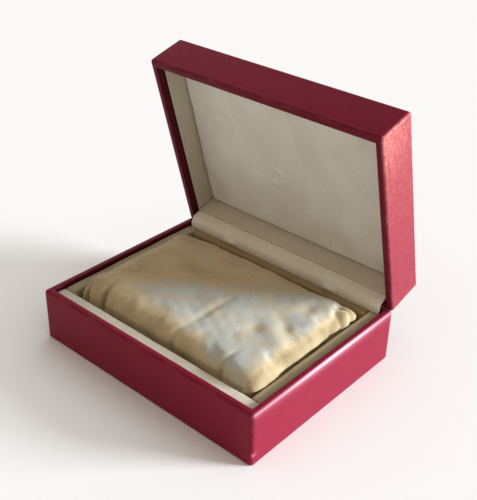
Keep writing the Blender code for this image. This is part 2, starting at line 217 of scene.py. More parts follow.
def bell(values, middle, width):
    """A bell curve: 1 at its middle and about a third at width from it."""
    return np.exp(-(((values - middle) / width) ** 2))


def ring(half_x, half_y, radius, side_steps, corner_steps):
    """Rounded rectangles as loops of points: quarter circles of the radius, joined by straight sides."""
    half_x, half_y, radius = (np.atleast_1d(v).astype(float)[:, None] for v in (half_x, half_y, radius))
    flat_x = np.maximum(half_x - radius, 0.0)
    flat_y = np.maximum(half_y - radius, 0.0)
    corners = []
    for quarter, (sx, sy) in enumerate(((1, 1), (-1, 1), (-1, -1), (1, -1))):
        angle = math.pi / 2 * (quarter + np.linspace(0.0, 1.0, corner_steps + 1))
        x = sx * flat_x + radius * np.cos(angle)
        y = sy * flat_y + radius * np.sin(angle)
        corners.append(np.stack([x, y], axis=-1))
    share = np.linspace(0.0, 1.0, side_steps + 1)[1:-1, None]
    pieces = []
    for k, corner in enumerate(corners):
        after = corners[(k + 1) % 4]
        side = corner[:, -1:] * (1.0 - share) + after[:, :1] * share
        pieces += [corner, side]
    return np.concatenate(pieces, axis=1)


# %% [markdown]
# Paint and dye are chosen on a screen as sRGB values, while the renderer mixes light in linear values,
# so one function converts them. Another adds a shader node, sets it up and links it.

# %% Colour and node helpers
def colour(code):
    """A linear colour from an sRGB hex value such as "A8324B"."""
    srgb = [int(code[k:k + 2], 16) / 255 for k in (0, 2, 4)]
    return (*[c / 12.92 if c <= 0.04045 else ((c + 0.055) / 1.055) ** 2.4 for c in srgb], 1.0)


def feed(node, **inputs):
    """Set inputs by name or number to a value, a socket, or the first output that another node has in use."""
    for key, value in inputs.items():
        socket = node.inputs[int(key[1:])] if key[1:].isdigit() else node.inputs[key.replace("_", " ")]
        if isinstance(value, bpy.types.Node):
            value = next(output for output in value.outputs if output.enabled)
        if isinstance(value, bpy.types.NodeSocket):
            node.id_data.links.new(value, socket)
        else:
            socket.default_value = value


def add_node(tree, kind, settings=None, stops=(), **inputs):
    """Add a shader node with its settings, the places and colours of its ramp's stops, and its inputs."""
    node = tree.nodes.new("ShaderNode" + kind)
    for key, value in (settings or {}).items():
        setattr(node, key, value)
    for k, (position, shade) in enumerate(stops):
        elements = node.color_ramp.elements
        element = elements[k] if k < len(elements) else elements.new(position)
        element.position = position
        element.color = shade
    feed(node, **inputs)
    return node


def new_material(name, **constants):
    """A Principled material with constant sockets, and its tree, shader and object coordinates."""
    look = bpy.data.materials.new(name)
    look.use_nodes = True
    tree = look.node_tree
    shader = tree.nodes["Principled BSDF"]
    feed(shader, **constants)
    return look, tree, shader, add_node(tree, "TexCoord").outputs["Object"]


# %% [markdown]
# Leathercloth is cotton coated with coloured vinyl and pressed with a fine grain. It keeps a satin
# gloss, and shows small pits in raking light. The grain is a Voronoi pattern of cells about 0.5 mm wide,
# a little coarser than the real one so that it shows. Three values that a piece keeps change the red.
# The first makes places that hands touch paler in specks, because the raised grain wears first; on the
# lid's right wall it also paints a highlight at the front corner. The second makes an edge smoother and
# paints a pale pink highlight along it. The third paints shade as a deeper red on the cloth turned in
# inside the walls and on the lid's rim face.

# %% Red leathercloth
def make_leathercloth():
    """Coated cloth: mottled red, satin gloss, pitted grain, paler specks of wear, painted highlight and
    shade.
    """
    look, tree, shader, place = new_material("grained red leathercloth", Specular_IOR_Level=0.09)
    mottle = add_node(tree, "TexNoise", Vector=place, Scale=1 / (5 * MM), Detail=6.0, Roughness=0.7)
    red = add_node(tree, "ValToRGB", stops=((0.3, colour("7A172F")), (0.7, colour("821E35"))), i0=mottle)
    inside, wear_and_highlight, polish_and_highlight = (add_node(tree, "Attribute", {"attribute_name": name}).outputs["Fac"]
                              for name in ("inside", "wear_and_highlight", "polish_and_highlight"))
    speck = add_node(tree, "TexNoise", Vector=place, Scale=1 / (1.4 * MM), Detail=5.0, Roughness=0.75)
    spread = add_node(tree, "MapRange", Value=speck, From_Min=0.35, From_Max=0.65, To_Min=0.3, To_Max=1.7)
    paler_specks = add_node(tree, "Math", {"operation": "MULTIPLY", "use_clamp": True}, i0=wear_and_highlight, i1=spread)
    # Painted shade as a deeper red inside, paler specks of wear with a painted highlight on the lid, and a
    # pale pink painted highlight along the smoothed edge.
    for amount, shade in ((inside, "4C0E1E"), (paler_specks, "CC7E74"), (polish_and_highlight, "E9B4C2")):
        red = add_node(tree, "Mix", {"data_type": "RGBA"}, i0=amount, i6=red, i7=colour(shade))
    gloss = add_node(tree, "MapRange", Value=polish_and_highlight, To_Min=0.38, To_Max=0.2)
    grain = add_node(tree, "TexVoronoi", Vector=place, Scale=1 / (0.55 * MM))
    height = add_node(tree, "Math", {"operation": "MULTIPLY"}, i0=grain, i1=0.6)
    bump = add_node(tree, "Bump", Strength=0.25, Distance=0.08 * MM, Height=height)
    feed(shader, Base_Color=red, Roughness=gloss, Normal=bump)
    return look


leathercloth = make_leathercloth()
print(leathercloth.name, "has", len(leathercloth.node_tree.nodes), "nodes")

# %% [markdown]
# Two fabrics line the box. The ledge is covered in a short napped cloth, dull with a dusty sheen. The lid
# and the strip over the hinges have a thin satin, smoother and a little shiny. A value that a piece keeps
# turns its fabric a darker brown as painted shade: most on the back ledge behind the cushion, much on the
# side ledges, and in places on the lid's panel.

# %% Napped cloth and satin
def add_nap(tree, shader, place, shade, thread, darkest, depth):
    """Threads or pile over a shade: the hollows between them are darker, and lower in the bump."""
    nap = add_node(tree, "TexNoise", Vector=place, Scale=1 / thread, Detail=2.0)
    speck = add_node(tree, "ValToRGB", i0=nap,
                     stops=((0.35, (darkest, darkest, darkest, 1.0)), (0.6, (1.0, 1.0, 1.0, 1.0))))
    shade = add_node(tree, "Mix", {"data_type": "RGBA", "blend_type": "MULTIPLY"}, i0=1.0, i6=shade, i7=speck)
    bump = add_node(tree, "Bump", Strength=0.3, Distance=depth, Height=nap)
    feed(shader, Base_Color=shade, Normal=bump)


def make_fabric(name, first, second, patch, thread, roughness, sheen, depth):
    """A fabric: two shades in soft patches, a fine thread or nap as bump, and a pale sheen."""
    look, tree, shader, place = new_material(
        name, Roughness=roughness, Sheen_Weight=sheen, Sheen_Roughness=0.4, Specular_IOR_Level=0.25,
        Sheen_Tint=colour("FFF8EA"))
    painted_shade = add_node(tree, "Attribute", {"attribute_name": "painted_shade"}).outputs["Fac"]
    patches = add_node(tree, "TexNoise", Vector=place, Scale=1 / patch, Detail=3.0)
    shade = add_node(tree, "ValToRGB", stops=((0.36, colour(first)), (0.64, colour(second))), i0=patches)
    # Painted shade: towards a darker brown by the value that the piece keeps.
    shade = add_node(tree, "Mix", {"data_type": "RGBA"}, i0=painted_shade, i6=shade, i7=colour("A08A62"))
    add_nap(tree, shader, place, shade, thread, 0.86, depth)
    return look


lining_cloth = make_fabric("short napped lining cloth", "DDD5C2", "E3DCCB", 14 * MM, 0.6 * MM, 0.85, 0.3,
                           0.1 * MM)
# The side and hinge-side satins are darker copies of the lining satin, painted shade for the lid's shaded
# walls; the strip's satin is a brighter, warmer and glossier copy, which paints light on the strip.
satin, side_satin, lower_satin, strip_satin = (
    make_fabric(name, first, second, patch * MM, 0.5 * MM, roughness, sheen, 0.03 * MM)
    for name, first, second, patch, roughness, sheen in (
        ("lining satin", "E0DCD1", "E6E3DA", 40, 0.5, 0.15),
        ("shaded side satin", "BCB39F", "C3BAA7", 30, 0.5, 0.15),
        ("shaded hinge-side satin", "CCC0AA", "D2C7B2", 30, 0.5, 0.15),
        ("hinge strip satin", "E8DDC8", "EEE6D6", 20, 0.38, 0.6),
    ))
print("fabrics:", ", ".join(x.name for x in (lining_cloth, satin, side_satin, lower_satin, strip_satin)))

# %% [markdown]
# The cushion is velour. Its colour carries painted light: the piece keeps a value between 0 and 1 that
# paints a pale cool sheen where the window lights the top, and tan to olive shade on the front slope, in
# the folds and along the right side. Noise breaks it up, and a ramp of four colours turns it into the
# colour. Sheen gives the edge of the pile, and a fine noise its fibres.

# %% Velour
def make_velour():
    """Pile fabric: olive tan as painted shade, champagne, or silver as painted sheen, with a sheen lobe."""
    look, tree, shader, place = new_material(
        "champagne velour", Roughness=0.75, Sheen_Weight=0.25, Sheen_Roughness=0.4, Specular_IOR_Level=0.2,
        Sheen_Tint=colour("FBF9F2"))
    painted_sheen_and_shade = add_node(tree, "Attribute", {"attribute_name": "painted_sheen_and_shade"}).outputs["Fac"]
    patches = add_node(tree, "TexNoise", Vector=place, Scale=1 / (13 * MM), Detail=6.0, Roughness=0.62)
    uneven = add_node(tree, "MapRange", Value=patches, From_Min=0.3, From_Max=0.7, To_Min=-0.12, To_Max=0.12)
    pile_light = add_node(tree, "Math", {"operation": "ADD", "use_clamp": True}, i0=painted_sheen_and_shade, i1=uneven)
    # Olive tan paints shade and silver paints the sheen where the window lights the pile.
    shades = ((0.0, "9C8C68"), (0.45, "CFBA94"), (0.8, "C4BEAB"), (1.0, "BFC1BB"))
    shade = add_node(tree, "ValToRGB", stops=[(at, colour(code)) for at, code in shades], i0=pile_light)
    add_nap(tree, shader, place, shade, 0.6 * MM, 0.84, 0.12 * MM)
    return look


velour = make_velour()
print(velour.name, "has", len(velour.node_tree.nodes), "nodes")

# %% [markdown]
# The rest shows little: grey board in the hinge slots, black paper under the base and nickelled steel
# hinges with a darker spring. Steel keeps the default index of refraction, and fine scratches vary its
# roughness.

# %% Board, paper and steel
def make_plain(name, first, second, grain, roughness, depth):
    """A pressed sheet: two close shades of fibre and a slight tooth."""
    look, tree, shader, place = new_material(name, Roughness=roughness)
    fibre = add_node(tree, "TexNoise", Vector=place, Scale=1 / grain, Detail=4.0)
    shade = add_node(tree, "ValToRGB", stops=((0.4, colour(first)), (0.6, colour(second))), i0=fibre)
    bump = add_node(tree, "Bump", Strength=0.3, Distance=depth, Height=fibre)
    feed(shader, Base_Color=shade, Normal=bump)
    return look


def make_steel(name, shade, low, high):
    """Bare or plated sheet steel: full metal whose roughness varies with rubbing."""
    look, tree, shader, place = new_material(name, Metallic=1.0, Base_Color=colour(shade))
    rub = add_node(tree, "TexNoise", Vector=place, Scale=1 / (1.5 * MM), Detail=6.0)
    feed(shader, Roughness=add_node(tree, "MapRange", Value=rub, To_Min=low, To_Max=high))
    return look


grey_board = make_plain("grey board", "8E8576", "A39A8B", 1.2 * MM, 0.9, 0.05 * MM)
black_paper = make_plain("black lining paper", "1D1A1B", "2A2627", 0.8 * MM, 0.7, 0.03 * MM)
nickelled_steel = make_steel("nickelled steel", "C9C4BA", 0.25, 0.45)
spring_steel = make_steel("blued spring steel", "8A8C92", 0.3, 0.5)
print("made board, paper and two steels")

# %% [markdown]
# The leathercloth is glued to the board, goes over the rounded rim and down inside. Its section is one
# profile of places given by their inset from the outer face and their depth from the rim, and that
# profile is carried round the plan. Every row of the grid is one place in the section, and its corner
# radius shrinks with the inset as on a real fold; in the middle of the lid the loop closes to a line. The
# open lid leans its back edge against the base's, so both swell a little there.

# %% The section of a covered wall
EDGE_RADIUS = 1.8 * MM
FOOT_RADIUS = 1.2 * MM
INNER_RADIUS = 0.7 * MM
SHARP = 0.2 * MM
TURN_IN = 12.0 * MM
TURN_UNDER = 10.0 * MM
BACK_SWELL = 0.14 * MM


def arc(inset, depth, radius, start, stop, steps=10):
    """Places on an arc about a centre; 0 degrees points inwards and 90 away from the rim."""
    angle = np.radians(np.linspace(start, stop, steps + 1))
    return np.stack([inset + radius * np.cos(angle), depth + radius * np.sin(angle)], axis=-1)


def straight(start, stop, steps):
    """Places between two others, without its ends."""
    share = np.linspace(0.0, 1.0, steps + 1)[1:-1, None]
    return np.array(start) * (1.0 - share) + np.array(stop) * share


def rim_section(height, end_radius):
    """From the foot of the outer wall up over the rim and down to the end of the turn-in."""
    return [
        straight((0.0, height - end_radius), (0.0, EDGE_RADIUS), 26),
        arc(EDGE_RADIUS, EDGE_RADIUS, EDGE_RADIUS, 180.0, 270.0),
        arc(WALL - INNER_RADIUS, INNER_RADIUS, INNER_RADIUS, -90.0, 0.0),
        straight((WALL, INNER_RADIUS), (WALL, TURN_IN), 8),
        np.array([(WALL, TURN_IN), (WALL - SKIN, TURN_IN), (WALL - SKIN, SKIN), (SKIN, SKIN)]),
        straight((SKIN, SKIN), (SKIN, height - SKIN), 6),
    ]


def wall_relief(points, depth, height, fold_lines):
    """How far the outer face lies inside its plane: a slow wave, streaks along it and lines at the folds."""
    sink = 0.08 * MM * (1.0 + np.tanh(unevenness(points, 38 * MM, 3)))
    sink = sink + 0.012 * MM * (1.0 + np.tanh(unevenness(points * np.array([0.04, 0.04, 1.0]), 2.5 * MM, 4)))
    for place in fold_lines:
        sink = sink + 0.06 * MM * bell(depth, place, 0.4 * MM)
    ends = ramp(depth, 0.4 * MM, EDGE_RADIUS) * ramp(height - depth, 0.4 * MM, EDGE_RADIUS)
    return sink * ends


def carry_round(section, height, fold_lines=()):
    """Carry a section of (inset, depth) round the plan; the third coordinate is the depth."""
    inset, depth = section[:, 0], section[:, 1]
    corner = np.minimum(np.maximum(EDGE_RADIUS - inset, SHARP), np.maximum(DEPTH / 2 - inset, 0.0))
    plan = ring(WIDTH / 2 - inset, DEPTH / 2 - inset, corner, side_steps=44, corner_steps=8)
    depths = np.broadcast_to(depth[:, None], plan.shape[:2])
    points = np.concatenate([plan, depths[..., None]], axis=-1)
    outer = ramp(-inset[:, None], -SKIN, 0.0)
    sink = wall_relief(points, depths, height, fold_lines) * outer
    points[..., 0] -= np.sign(points[..., 0]) * sink * (np.abs(points[..., 0]) > WIDTH / 2 - 1.2 * SKIN)
    points[..., 1] -= np.sign(points[..., 1]) * sink * (np.abs(points[..., 1]) > DEPTH / 2 - 1.2 * SKIN)
    return swell_back_edge(points)


def swell_back_edge(points):
    """Push the back rim's rounded edge out where lid and base meet when the lid stands open."""
    y = points[..., 1] - (DEPTH / 2 - EDGE_RADIUS)
    up = EDGE_RADIUS - points[..., 2]
    angle = np.arctan2(up, y)
    reach = np.hypot(y, up)
    on_edge = (y > 0.0) & (up > 0.0) & (np.abs(reach - EDGE_RADIUS) < 0.1 * MM)
    push = BACK_SWELL * bell(angle, math.radians(53.0), math.radians(22.0)) * on_edge
    points[..., 1] += push * np.cos(angle)
    points[..., 2] -= push * np.sin(angle)
    return points


# %% [markdown]
# The base's leathercloth ends under the floor, and the lid's covers the whole top. Handling has
# rubbed both along their edges and over the lid's right wall, and there is a small nick low on the
# base's front corner. A highlight is painted at that wall's front corner and along the base's right top
# edge, and shade is painted as a deeper red inside. Each is a value from 0 to 1 that the leathercloth's
# colour reads.

# %% Wrap both halves
def base_section():
    """The closed section of the base's leathercloth, turned under the floor."""
    foot = arc(FOOT_RADIUS, BASE_HEIGHT - FOOT_RADIUS, FOOT_RADIUS, 90.0, 180.0, 8)
    under = np.array([(TURN_UNDER, BASE_HEIGHT)])
    back = np.array([(SKIN, BASE_HEIGHT - SKIN), (TURN_UNDER, BASE_HEIGHT - SKIN)])
    rows = [under, straight(under[0], foot[0], 5), foot, *rim_section(BASE_HEIGHT, FOOT_RADIUS), back]
    return np.concatenate(rows)


def lid_section():
    """The lid's section from the middle of its top, over the edge and rim, and back along the inside."""
    middle = DEPTH / 2
    edge = arc(EDGE_RADIUS, LID_HEIGHT - EDGE_RADIUS, EDGE_RADIUS, 90.0, 180.0)
    top = straight((middle + SKIN, LID_HEIGHT), edge[0], 24)
    ceiling = np.array([(SKIN, LID_HEIGHT - SKIN), (middle, LID_HEIGHT - SKIN)])
    crown = np.array([(middle, LID_HEIGHT)])
    return np.concatenate([crown, top[1:], edge, *rim_section(LID_HEIGHT, EDGE_RADIUS), ceiling])


def edge_wear(points, low, high, seed):
    """Rubbed edges: near 1 where a point lies close to two outer faces, broken up by unevenness."""
    to_faces = np.minimum(points - np.array(low), np.array(high) - points)
    nearest = np.sort(to_faces, axis=-1)[:, :2].sum(axis=-1)
    rub = 1.0 - ramp(nearest, 0.9 * MM, 1.6 * MM)
    return rub * ramp(unevenness(points, 9 * MM, seed), -0.2, 1.6) * 0.12


def turned_in(points):
    """1 on the cloth that lies inside the walls, 0 on the walls, the rim, the lid's top and the underside."""
    inset = np.minimum(WIDTH / 2 - np.abs(points[:, 0]), DEPTH / 2 - np.abs(points[:, 1]))
    between = (points[:, 2] > 0.4 * MM) & (points[:, 2] < lid_high.z - 0.4 * MM)
    return ramp(inset, WALL - 0.5 * MM, WALL - 0.05 * MM) * between


def spot(points, place, size):
    """A soft round mark about size wide."""
    return np.exp(-(((points - np.array(place)) / size) ** 2).sum(axis=-1))


base_grid = carry_round(base_section(), BASE_HEIGHT)
base_grid[..., 2] = BASE_HEIGHT - base_grid[..., 2]
base_wrap = surface("base_leathercloth", [base_grid], loop_rows=True, loop_columns=True)
lid_grid = carry_round(lid_section(), LID_HEIGHT, (2.2 * MM, 3.4 * MM))
lid_grid[..., 2] = LID_RIM + lid_grid[..., 2]
lid_wrap = surface("lid_leathercloth", [lid_grid], loop_columns=True)

# %% [markdown]
# The hinges' knuckles lie in slots through the back rim, and the leaves lie in windows of the turned-in
# edge. Both are plain cuts, so boxes sized from the hinges' own solids take them out with a Boolean.

# %% Cut the hinge slots
KNUCKLE_ROOM = 6.9 * MM
SLOT_DEPTH = 1.25 * MM
LEAF_WINDOW = 10.3 * MM


def box_cutter(low, high):
    """A plain box between two corners, used only to cut."""
    bm = bmesh.new()
    bmesh.ops.create_cube(bm, size=1.0)
    middle, size = (Vector(low) + Vector(high)) / 2, Vector(high) - Vector(low)
    for vert in bm.verts:
        vert.co = middle + Vector(a * b for a, b in zip(vert.co, size))
    mesh = bpy.data.meshes.new("cutter")
    bm.to_mesh(mesh)
    bm.free()
    cutter = bpy.data.objects.new("cutter", mesh)
    bpy.context.scene.collection.objects.link(cutter)
    return cutter


def cut_away(piece, cutters):
    """Take the cutters out of a piece, keep the result and delete the cutters."""
    for cutter in cutters:
        modifier = piece.modifiers.new("cut", "BOOLEAN")
        modifier.object = cutter
        modifier.solver = "EXACT"
    apply_modifiers(piece)
    for cutter in cutters:
        bpy.data.objects.remove(cutter, do_unlink=True)


def hinge_cutters(rim, side):
    """A slot and a window for each hinge; side is 1 where the wall rises from the rim and -1 below it."""
    back = DEPTH / 2
    cutters = []
    for hand in ("left", "right"):
        low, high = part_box(f"{hand}_hinge_base_leaf")
        x = (low.x + high.x) / 2
        half = (high.x - low.x) / 2 + GAP
        for reach, near, far, depth in (
            (KNUCKLE_ROOM, back + EDGE_RADIUS, back - WALL - SKIN, SLOT_DEPTH),
            (half, back - WALL + SKIN + GAP / 2, back - WALL - SKIN, LEAF_WINDOW),
        ):
            ends = sorted((rim - side * SKIN, rim + side * depth))
            cutters.append(box_cutter((x - reach, far, ends[0]), (x + reach, near, ends[1])))
    return cutters


cut_away(base_wrap, hinge_cutters(BASE_HEIGHT, -1))
cut_away(lid_wrap, hinge_cutters(LID_RIM, 1))

# The lid's right wall wears a little paler all over and more towards the front, and a painted
# highlight makes its front corner paler still. Its rim face is painted nearly as deep a red as the cloth
# inside, as painted shade.
shut_points = vectors_of(lid_wrap.data)
right_wall = ramp(shut_points[:, 0], WIDTH / 2 - 1.5 * MM, WIDTH / 2 - 0.3 * MM)
# A painted highlight at the front corner of the lid's right wall.
corner_highlight = spot(shut_points, (WIDTH / 2, -DEPTH / 2 + 2 * MM, LID_RIM + 2 * MM), 20 * MM)
lid_wear_and_highlight = edge_wear(shut_points, lid_low, lid_high, 11)
lid_wear_and_highlight += right_wall * (0.09 + 0.10 * ramp(-shut_points[:, 1], -40 * MM, 40 * MM) + 0.35 * corner_highlight)
paint(lid_wrap, "wear_and_highlight", np.clip(lid_wear_and_highlight, 0.0, 1.0))
# Painted shade: the rim face gets much of the deeper red of the turned-in cloth.
lid_rim_shade = 0.55 * ramp(LID_RIM - shut_points[:, 2], -1.6 * MM, -0.5 * MM)
paint(lid_wrap, "inside", np.maximum(turned_in(shut_points), lid_rim_shade))
move_points(lid_wrap, turn_lid(shut_points, OPEN))

# Hands have smoothed the base's right wall along its top edge, most beside the middle of the box, and a
# pale pink highlight is painted along it.
base_points = vectors_of(base_wrap.data)
below_rim = BASE_HEIGHT - base_points[:, 2]
right_wall = ramp(base_points[:, 0], WIDTH / 2 - 1.7 * MM, WIDTH / 2 - 0.6 * MM)
highlight_along = 0.25 + 0.75 * bell(base_points[:, 1], 8 * MM, 38 * MM)
base_worn = edge_wear(base_points, base_low, base_high, 12)
base_worn += spot(base_points, (WIDTH / 2, -DEPTH / 2 + 1.0 * MM, 6.5 * MM), 0.9 * MM)
paint(base_wrap, "wear_and_highlight", np.clip(base_worn, 0.0, 1.0))
# Painted highlight: a narrow band along the edge and a soft glow below it.
highlight_band = bell(below_rim, 0.5 * MM, 0.9 * MM) + 0.45 * bell(below_rim, 0.0, 3.0 * MM)
paint(base_wrap, "polish_and_highlight", np.clip(right_wall * highlight_along * highlight_band * 0.6, 0.0, 1.0))
# Painted shade: a deeper red on the turned-in cloth inside the walls.
paint(base_wrap, "inside", turned_in(base_points))
finish_piece(base_wrap, "base", leathercloth, "leatherette", "base_wrap")
finish_piece(lid_wrap, "lid", leathercloth, "leatherette", "lid_wrap")

# %% [markdown]
# The ledge round the well is four strips of thick board covered in napped cloth. Each is a rounded
# rectangle carried along its length; the section draws in at the ends, as a cloth-covered end does.

# %% Covered strips and cards
def covered_bar(low, high, along, radius, waver, seed, steps=90):
    """A rounded bar in a box: its section is drawn in by a quarter circle at each end."""
    low, high = np.array(low), np.array(high)
    across = [k for k in (0, 1, 2) if k != along]
    turn = np.linspace(0.0, math.pi / 2, 7)
    run_in = radius * (1.0 - np.cos(turn))
    length = high[along] - low[along]
    middle = np.linspace(radius, length - radius, steps)[1:-1]
    places = np.concatenate([run_in, middle, (length - run_in)[::-1]])
    drawn = radius * (1.0 - np.sin(turn))
    inset = np.concatenate([drawn, np.zeros(len(middle)), drawn[::-1]])
    half = (high[across] - low[across]) / 2
    corner = np.maximum(radius - inset, 0.02 * MM)
    section = ring(half[0] - inset, half[1] - inset, corner, side_steps=10, corner_steps=5)
    grid = np.empty((*section.shape[:2], 3))
    grid[..., along] = low[along] + places[:, None]
    grid[..., across[0]] = (low[across[0]] + high[across[0]]) / 2 + section[..., 0]
    grid[..., across[1]] = (low[across[1]] + high[across[1]]) / 2 + section[..., 1]
    grid[..., across[1]] += waver * unevenness(grid, 18 * MM, seed)
    return grid


def cover_card(name, node, body, look, slot, along, radius, waver, seed):
    """Cover one card of the base or the lid in fabric, in the place of its solid."""
    low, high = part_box(node) if body == "base" else shut_box(node)
    grid = covered_bar(low, high, along, radius, waver, seed)
    if body == "lid":
        grid = turn_lid(grid, OPEN)
    piece = surface(name, [grid], loop_columns=True, caps=True)
    return finish_piece(piece, body, look, slot, node)


# Each wall, the axis its card runs along (0 is X and 1 is Y), and its ledge's painted shade or its satin.
LEDGES = (("front", 0, 0.0), ("back", 0, 1.0), ("left", 1, 0.7), ("right", 1, 0.7))
LININGS = (("front", 0, satin), ("hinge_side", 0, lower_satin), ("left", 1, side_satin),
           ("right", 1, side_satin))

for seed, (hand, along, shade_share) in enumerate(LEDGES, 20):
    ledge = cover_card(f"ledge_{hand}", f"base_liner_{hand}", "base", lining_cloth, "lining_cloth", along,
                       radius=1.1 * MM, waver=0.12 * MM, seed=seed)
    paint(ledge, "painted_shade", np.full(len(ledge.data.vertices), shade_share))
for seed, (hand, along, cloth) in enumerate(LININGS, 30):
    cover_card(f"lid_lining_{hand}", f"lid_liner_{hand}", "lid", cloth, "satin", along, radius=0.45 * MM,
               waver=0.05 * MM, seed=seed)

# %% [markdown]
# A pad of wadding under satin fills the lid. It is full in the middle of each edge and flatter at the
# corners, where the satin is folded under, and years of use have left ripples and one dent. Two grids, a
# face and a flat back, share their border.

# %% The lid's padded panel
PANEL_EDGE = 1.7 * MM
PANEL_REACH = 0.27 * MM
PANEL_CROWN = 2.4 * MM
PANEL_POINTS = 141


def rounded_edge(distance, radius):
    """The rise of a rounded border: a quarter circle over the radius, then level."""
    share = np.clip(1.0 - distance / radius, 0.0, 1.0)
    return 1.0 - np.sqrt(1.0 - share * share)


def crescent(x, from_hinge, radius, width):
    """A curved band: part of a circle on the panel, 1 along its middle and fading to its sides and ends."""
    across, along = x + 44 * MM, from_hinge - 73 * MM
    reach, angle = np.hypot(across, along), np.arctan2(along, across)
    return bell(reach, radius, width) * bell(angle, 0.7, 0.95)


def panel_marks(x, y, to_edge):
    """Ripples, puckers at the edge, a crescent fold, a dimple and a dent, as height towards the base."""
    place = np.stack([x, y, np.zeros_like(x)], axis=-1)
    from_hinge = DEPTH / 2 - y
    ripples = 0.45 * MM * unevenness(place, 34 * MM, 41) + 0.13 * MM * unevenness(place, 13 * MM, 42)
    puckers = 0.16 * MM * unevenness(place, 10 * MM, 43) * np.exp(-to_edge / (5 * MM))
    fold = 2.0 * MM * crescent(x, from_hinge, 10 * MM, 1.8 * MM)
    dent = 1.3 * MM * spot(place, (-41 * MM, DEPTH / 2 - 76 * MM, 0.0), 5 * MM)
    round_off = np.hypot(x + 9 * MM, from_hinge - 50 * MM)
    dimple = 0.8 * MM * bell(round_off, 5 * MM, 1.8 * MM) - 0.6 * MM * bell(round_off, 0.0, 3 * MM)
    inner = (ripples + fold - dent + dimple) * ramp(to_edge, 0.0, 6 * MM)
    return inner + puckers * ramp(to_edge, 0.0, 1.5 * MM)


def panel_grids():
    """The face and the back of the panel with the lid shut; the face hangs below, towards the cushion."""
    low, high = shut_box("lid_panel")
    share = (1.0 - np.cos(np.linspace(0.0, math.pi, PANEL_POINTS))) / 2
    share = 0.35 * share + 0.65 * np.linspace(0.0, 1.0, PANEL_POINTS)
    low.x, low.y, high.x, high.y = (
        low.x - PANEL_REACH, low.y - PANEL_REACH, high.x + PANEL_REACH, high.y + PANEL_REACH)
    x, y = np.meshgrid(low.x + (high.x - low.x) * share, low.y + (high.y - low.y) * share, indexing="ij")
    s = 2 * (x - low.x) / (high.x - low.x) - 1
    t = 2 * (y - low.y) / (high.y - low.y) - 1
    to_edge = np.minimum(np.minimum(x - low.x, high.x - x), np.minimum(y - low.y, high.y - y))
    fullness = (1 - s ** 6) ** 0.5 * (1 - 0.55 * t ** 2) * 0.9 + 0.1
    thickness = ((high.z - low.z) + PANEL_CROWN * fullness) * (1.0 - rounded_edge(to_edge, PANEL_EDGE))
    thickness = thickness + panel_marks(x, y, to_edge)
    face = np.stack([x, y, high.z - np.maximum(thickness, 0.0)], axis=-1)
    back = np.stack([x, y, np.full_like(x, high.z)], axis=-1)
    return face, back


def painted_panel_shade(points):
    """Painted shade: low on the left, down the left side, over the right half, in the fold; random patches.
    """
    x, from_hinge = points[:, 0], DEPTH / 2 - points[:, 1]
    low_left = bell(x, -34 * MM, 40 * MM) * bell(from_hinge, 18 * MM, 26 * MM)
    left, right = bell(x, -64 * MM, 9 * MM), ramp(x, -45 * MM, 5 * MM)
    shade = crescent(x, from_hinge, 7.5 * MM, 1.8 * MM) - 0.5 * crescent(x, from_hinge, 10.5 * MM, 1.2 * MM)
    patches = unevenness(points * np.array([1.0, 1.0, 0.0]), 24 * MM, 44)
    return np.clip(0.12 * low_left + 0.08 * left + 0.3 * shade + 0.05 * patches + 0.14 * right, 0.0, 1.0)


panel = surface("lid_satin_panel", list(panel_grids()))
shut_points = vectors_of(panel.data)
# The value paints shade on the satin.
paint(panel, "painted_shade", painted_panel_shade(shut_points))
move_points(panel, turn_lid(shut_points, OPEN))
finish_piece(panel, "lid", satin, "satin", "lid_panel")

# %% [markdown]
# The cushion is a velour bag of wadding, pressed into the well. It starts as a function of two
# parameters: a rectangle whose sides are drawn in a little, full in the middle and thin at the seam.

# %% The cushion before it is filled
CUSHION_SEAM = BASE_HEIGHT - 6.0 * MM
LEDGE_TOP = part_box("base_liner_left")[1].z
CUSHION_CAP = 1.8 * MM
cushion_low, cushion_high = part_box("cushion")


def cushion_grids(steps=110):
    """Upper and lower half of the cushion; the rise is the root of (1 - s^18)(1 - t^9)."""
    low, high = cushion_low, cushion_high
    half_x, half_y = (high.x - low.x) / 2 - CUSHION_CAP / 2, (high.y - low.y) / 2 - CUSHION_CAP / 2
    along = np.sin(np.linspace(-math.pi / 2, math.pi / 2, steps + 1))
    s, t = np.meshgrid(along, along, indexing="ij")
    x = half_x * s * np.sqrt(1.0 - 0.04 * t * t)
    y = half_y * t * np.sqrt(1.0 - 0.04 * s * s)
    rise = np.sqrt((1.0 - np.abs(s) ** 18) * (1.0 - np.abs(t) ** 9))
    top = np.stack([x, y, CUSHION_SEAM + (high.z - CUSHION_CAP / 2 - CUSHION_SEAM) * rise], axis=-1)
    bottom = np.stack([x, y, CUSHION_SEAM - (CUSHION_SEAM - low.z) * np.minimum(1.0, 1.6 * rise)], axis=-1)
    return top, bottom


# %% [markdown]
# Wadding pushes the velour out and wrinkles it. The cloth simulation does that: the bag is remeshed
# evenly and blown up with a little pressure. Cloth settings suit things the size of a chair, so the bag
# is five times as large meanwhile. A cap on the movement keeps the bag in its well.

# %% Fill the cushion
CLOTH_SCALE = 5.0
CLOTH_FRAMES = 20
VOXEL = 1.5 * MM


